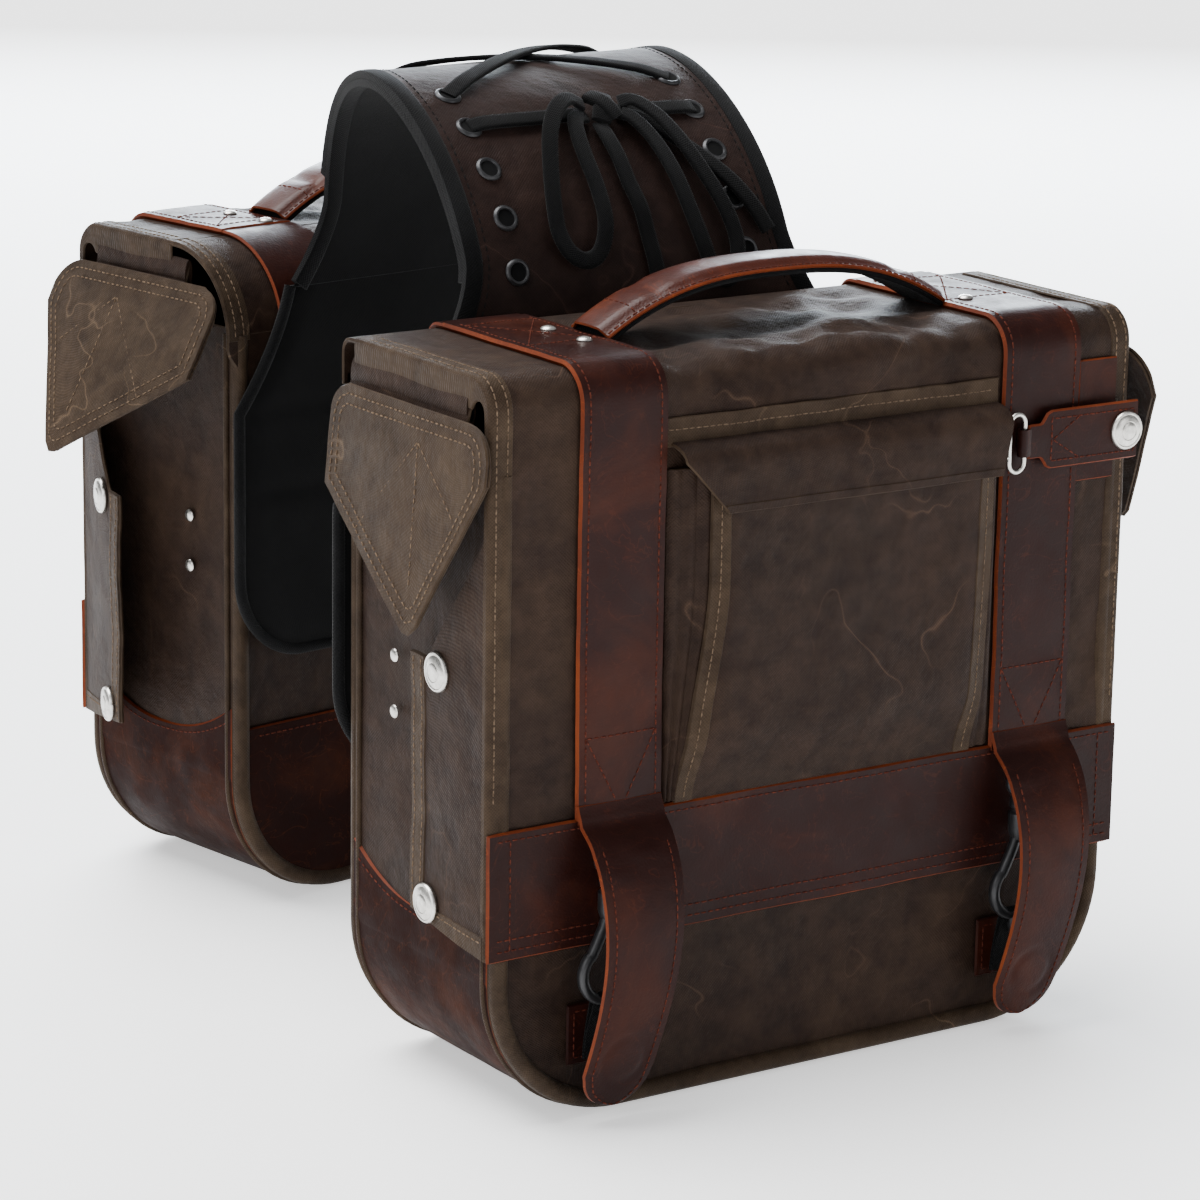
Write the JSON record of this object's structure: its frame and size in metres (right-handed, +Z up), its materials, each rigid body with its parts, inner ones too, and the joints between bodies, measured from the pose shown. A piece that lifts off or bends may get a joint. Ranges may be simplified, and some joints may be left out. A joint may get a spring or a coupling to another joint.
{
  "type": "motorcycle saddlebag pair",
  "caption": "Throw-over pair of canvas and leather saddlebags on a laced yoke, with hinged lids, strap tongues over snap hooks, pockets and carrying handles.",
  "frame": {"origin": "centre of the near bag's flat base, where it stands", "axes": "+Z up; -Y is the way the near bag's front faces; +X along the near bag's width"},
  "size_m": [0.4156, 0.538, 0.428],
  "materials": {
    "waxed_canvas": "waxed, matt",
    "oiled_leather": "oiled, pull-up",
    "yoke_canvas": "waxed, matt",
    "black_felt": "felted",
    "black_binding": "woven tape",
    "black_lace": "woven",
    "black_metal": "black plated",
    "steel": "nickel"
  },
  "bodies": {
    "bag_frame": {"front_panels": "waxed_canvas", "back_panels": "waxed_canvas", "gussets": "waxed_canvas", "near_base": "oiled_leather", "far_base": "oiled_leather", "back_drops": "waxed_canvas", "strap_backs": "oiled_leather", "piping": "waxed_canvas", "end_rivets": "steel", "anchor_tabs": "oiled_leather", "yoke_pads": "black_felt", "yoke_upper": "yoke_canvas", "yoke_lower": "yoke_canvas", "yoke_binding": "black_binding", "yoke_eyelets": "black_metal", "lace_crossings": "black_lace", "lace_loop_left": "black_lace", "lace_loop_right": "black_lace", "lace_tail_left": "black_lace", "lace_tail_right": "black_lace"},
    "near_cover": {"near_lid": "waxed_canvas", "near_band": "oiled_leather", "near_straps": "oiled_leather", "near_pocket": "waxed_canvas", "near_handle": "oiled_leather", "near_strap_rivets": "steel", "near_tab_ring": "steel"},
    "near_flap": {"near_pocket_flap": "waxed_canvas"},
    "near_tab": {"near_side_tab": "oiled_leather", "near_tab_snap": "steel"},
    "near_left_tongue": {"near_tongue_left": "oiled_leather"},
    "near_left_hook": {"near_hook_left": "black_metal"},
    "near_left_patch": {"near_patch_left": "waxed_canvas"},
    "near_left_wing": {"near_wing_left": "waxed_canvas", "near_wing_snaps_left": "steel"},
    "near_right_tongue": {"near_tongue_right": "oiled_leather"},
    "near_right_hook": {"near_hook_right": "black_metal"},
    "near_right_patch": {"near_patch_right": "waxed_canvas"},
    "near_right_wing": {"near_wing_right": "waxed_canvas", "near_wing_snaps_right": "steel"},
    "far_cover": {"far_lid": "waxed_canvas", "far_band": "oiled_leather", "far_straps": "oiled_leather", "far_pocket": "waxed_canvas", "far_handle": "oiled_leather", "far_strap_rivets": "steel", "far_tab_ring": "steel"},
    "far_flap": {"far_pocket_flap": "waxed_canvas"},
    "far_tab": {"far_side_tab": "oiled_leather", "far_tab_snap": "steel"},
    "far_left_tongue": {"far_tongue_left": "oiled_leather"},
    "far_left_hook": {"far_hook_left": "black_metal"},
    "far_left_patch": {"far_patch_left": "waxed_canvas"},
    "far_left_wing": {"far_wing_left": "waxed_canvas", "far_wing_snaps_left": "steel"},
    "far_right_tongue": {"far_tongue_right": "oiled_leather"},
    "far_right_hook": {"far_hook_right": "black_metal"},
    "far_right_patch": {"far_patch_right": "waxed_canvas"},
    "far_right_wing": {"far_wing_right": "waxed_canvas", "far_wing_snaps_right": "steel"}
  },
  "joints": [
    {"name": "near_lid_hinge", "type": "hinge", "parent": "bag_frame", "child": "near_cover", "pos_m": [0, 0.057, 0.324], "axis": [-1, 0, 0], "range_deg": [0, 70]},
    {"name": "near_flap_hinge", "type": "hinge", "parent": "near_cover", "child": "near_flap", "pos_m": [0.007, -0.0598, 0.291], "axis": [-1, 0, 0], "range_deg": [0, 95]},
    {"name": "near_tab_hinge", "type": "hinge", "parent": "near_cover", "child": "near_tab", "pos_m": [0.1052, -0.0667, 0.273], "axis": [0, 0, -1], "range_deg": [0, 110]},
    {"name": "near_left_tongue_hinge", "type": "hinge", "parent": "near_cover", "child": "near_left_tongue", "pos_m": [-0.105, -0.064, 0.131], "axis": [-1, 0, 0], "range_deg": [0, 100]},
    {"name": "near_left_hook_swivel", "type": "hinge", "parent": "near_cover", "child": "near_left_hook", "pos_m": [-0.113, -0.068, 0.117], "axis": [0, 1, 0], "range_deg": [-18, 18]},
    {"name": "near_left_patch_hinge", "type": "hinge", "parent": "near_cover", "child": "near_left_patch", "pos_m": [-0.1712, 0, 0.307], "axis": [0, 1, 0], "range_deg": [0, 86]},
    {"name": "near_left_wing_hinge", "type": "hinge", "parent": "near_cover", "child": "near_left_wing", "pos_m": [-0.17, -0.0572, 0.15], "axis": [0, 0, 1], "range_deg": [0, 75]},
    {"name": "near_right_tongue_hinge", "type": "hinge", "parent": "near_cover", "child": "near_right_tongue", "pos_m": [0.118, -0.064, 0.131], "axis": [-1, 0, 0], "range_deg": [0, 100]},
    {"name": "near_right_hook_swivel", "type": "hinge", "parent": "near_cover", "child": "near_right_hook", "pos_m": [0.11, -0.068, 0.117], "axis": [0, 1, 0], "range_deg": [-18, 18]},
    {"name": "near_right_patch_hinge", "type": "hinge", "parent": "near_cover", "child": "near_right_patch", "pos_m": [0.1712, 0, 0.307], "axis": [0, -1, 0], "range_deg": [0, 72]},
    {"name": "near_right_wing_hinge", "type": "hinge", "parent": "near_cover", "child": "near_right_wing", "pos_m": [0.17, -0.0572, 0.15], "axis": [0, 0, -1], "range_deg": [0, 75]},
    {"name": "far_lid_hinge", "type": "hinge", "parent": "bag_frame", "child": "far_cover", "pos_m": [0.05292, 0.2877, 0.324], "axis": [0.9877, 0.1564, 0], "range_deg": [0, 70]},
    {"name": "far_flap_hinge", "type": "hinge", "parent": "far_cover", "child": "far_flap", "pos_m": [0.02773, 0.40197, 0.291], "axis": [0.9877, 0.1564, 0], "range_deg": [0, 95]},
    {"name": "far_tab_hinge", "type": "hinge", "parent": "far_cover", "child": "far_tab", "pos_m": [-0.07034, 0.39342, 0.273], "axis": [0, 0, -1], "range_deg": [0, 110]},
    {"name": "far_left_tongue_hinge", "type": "hinge", "parent": "far_cover", "child": "far_left_tongue", "pos_m": [0.1377, 0.42364, 0.131], "axis": [0.9877, 0.1564, 0], "range_deg": [0, 100]},
    {"name": "far_left_hook_swivel", "type": "hinge", "parent": "far_cover", "child": "far_left_hook", "pos_m": [0.14497, 0.42884, 0.117], "axis": [0.1564, -0.9877, 0], "range_deg": [-18, 18]},
    {"name": "far_left_patch_hinge", "type": "hinge", "parent": "far_cover", "child": "far_left_patch", "pos_m": [0.21309, 0.37078, 0.307], "axis": [0.1564, -0.9877, 0], "range_deg": [0, 84]},
    {"name": "far_left_wing_hinge", "type": "hinge", "parent": "far_cover", "child": "far_left_wing", "pos_m": [0.20296, 0.42709, 0.15], "axis": [0, 0, 1], "range_deg": [0, 75]},
    {"name": "far_right_tongue_hinge", "type": "hinge", "parent": "far_cover", "child": "far_right_tongue", "pos_m": [-0.08256, 0.38875, 0.131], "axis": [0.9877, 0.1564, 0], "range_deg": [0, 100]},
    {"name": "far_right_hook_swivel", "type": "hinge", "parent": "far_cover", "child": "far_right_hook", "pos_m": [-0.07528, 0.39395, 0.117], "axis": [0.1564, -0.9877, 0], "range_deg": [-18, 18]},
    {"name": "far_right_patch_hinge", "type": "hinge", "parent": "far_cover", "child": "far_right_patch", "pos_m": [-0.12509, 0.31722, 0.307], "axis": [-0.1564, 0.9877, 0], "range_deg": [0, 64]},
    {"name": "far_right_wing_hinge", "type": "hinge", "parent": "far_cover", "child": "far_right_wing", "pos_m": [-0.13286, 0.3739, 0.15], "axis": [0, 0, -1], "range_deg": [0, 55]}
  ]
}
